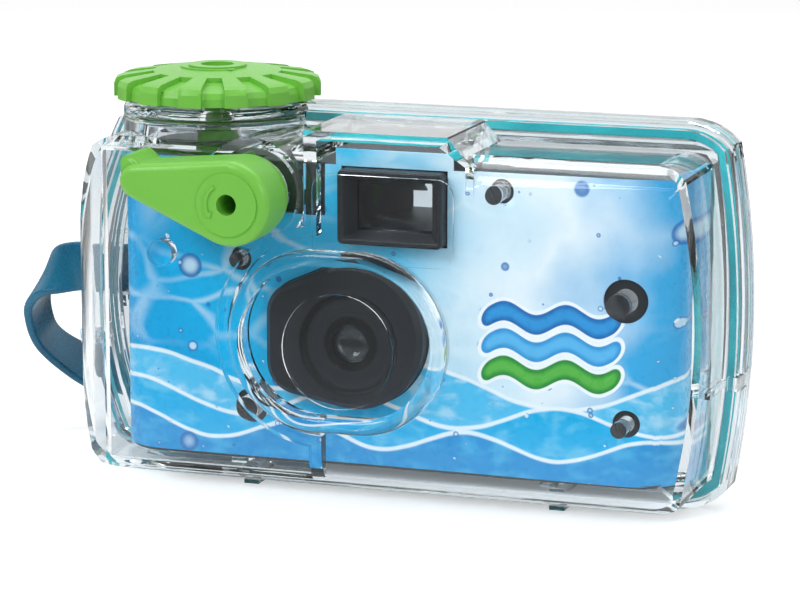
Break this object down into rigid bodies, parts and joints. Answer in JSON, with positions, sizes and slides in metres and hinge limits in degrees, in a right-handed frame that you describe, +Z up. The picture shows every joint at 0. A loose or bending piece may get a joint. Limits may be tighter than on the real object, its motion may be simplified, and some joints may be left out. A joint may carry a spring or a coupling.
{
  "type": "waterproof disposable film camera",
  "caption": "Single-use 35 mm film camera sealed in a clear two-shell waterproof case, with a winding knob, shutter lever and rubber wrist strap.",
  "frame": {"origin": "bottom of the parting flange, midway along it, on the parting plane between the two shells", "axes": "+X to the right seen from the front, the lens looks along -Y, +Z up from the face that the camera stands on"},
  "size_m": [0.1481, 0.0736, 0.0782],
  "materials": {
    "clear_shell": "clear polished moulding",
    "teal_rubber": "smooth moulded seal",
    "strap_rubber": "satin moulded rubber",
    "green_plastic": "satin moulding",
    "dark_green_plastic": "matte moulding",
    "seal_rubber": "matte",
    "spring_steel": "satin",
    "printed_card": "printed gloss card",
    "black_plastic": "fine matte moulding",
    "clear_lens": "polished optical plastic",
    "can_metal": "satin paint",
    "film_base": "gloss film",
    "dial_white": "satin moulding"
  },
  "bodies": {
    "case": {"front_case": "clear_shell", "rear_case": "clear_shell", "case_gasket": "teal_rubber", "knob_seal": "seal_rubber", "wheel_pawl": "spring_steel", "lever_seal": "seal_rubber", "lever_spring": "spring_steel", "label_wrap": "printed_card", "front_cover": "black_plastic", "rear_cover": "black_plastic", "main_frame": "black_plastic", "lens_panel": "black_plastic", "front_lens": "clear_lens", "lens_retainer": "black_plastic", "lens_barrel": "black_plastic", "rear_lens": "clear_lens", "shutter_plate": "black_plastic", "blade_pin": "spring_steel", "finder_frame": "black_plastic", "finder_glass": "clear_lens", "finder_tunnel": "black_plastic", "finder_eyepiece": "clear_lens", "film_can": "can_metal", "film_strip": "film_base"},
    "winder": {"wind_knob": "green_plastic", "wind_coupler": "dark_green_plastic", "wind_wheel": "black_plastic", "can_spool": "black_plastic"},
    "lever": {"shutter_lever": "green_plastic", "release_arm": "dark_green_plastic"},
    "button": {"release_button": "black_plastic"},
    "blade": {"shutter_blade": "spring_steel"},
    "supply": {"film_roll": "film_base", "roll_core": "black_plastic"},
    "sprocket_wheel": {"sprocket": "black_plastic"},
    "counter": {"counter_dial": "dial_white"},
    "strap": {"wrist_strap": "strap_rubber"}
  },
  "joints": [
    {"name": "knob_turn", "type": "hinge", "parent": "case", "child": "winder", "pos_m": [-0.036, -0.0051, 0.078], "axis": [0, 0, 1], "continuous": true},
    {"name": "lever_press", "type": "hinge", "parent": "case", "child": "lever", "pos_m": [-0.0212, -0.03, 0.0578], "axis": [0, -1, 0], "range_deg": [0, 18], "stiffness_Nm_per_rad": 0.03, "springref_deg": -11.46},
    {"name": "button_slide", "type": "slide", "parent": "case", "child": "button", "axis": [0, 0, -1], "range_m": [0, 0.0019]},
    {"name": "blade_swing", "type": "hinge", "parent": "case", "child": "blade", "pos_m": [0.0066, -0.0136, 0.0343], "axis": [0, 1, 0], "range_deg": [0, 30], "stiffness_Nm_per_rad": 0.0005, "springref_deg": -17.19},
    {"name": "supply_turn", "type": "hinge", "parent": "case", "child": "supply", "pos_m": [0.0419, -0.0051, 0.03], "axis": [0, 0, 1], "continuous": true},
    {"name": "sprocket_turn", "type": "hinge", "parent": "case", "child": "sprocket_wheel", "pos_m": [-0.0174, 0.0001, 0.046], "axis": [0, 0, 1], "continuous": true},
    {"name": "counter_turn", "type": "hinge", "parent": "case", "child": "counter", "pos_m": [-0.014, -0.0085, 0.06], "axis": [0, 0, 1], "continuous": true},
    {"name": "strap_swing", "type": "hinge", "parent": "case", "child": "strap", "pos_m": [-0.0655, 0.009, 0.03565], "axis": [0, 0, 1], "range_deg": [0, 45]}
  ],
  "couplings": [
    {"joint": "button_slide", "follows": "lever_press", "m_per_rad": 0.006},
    {"joint": "supply_turn", "follows": "knob_turn", "ratio": 0.4821},
    {"joint": "sprocket_turn", "follows": "knob_turn", "ratio": 0.9},
    {"joint": "counter_turn", "follows": "knob_turn", "ratio": -0.025}
  ]
}
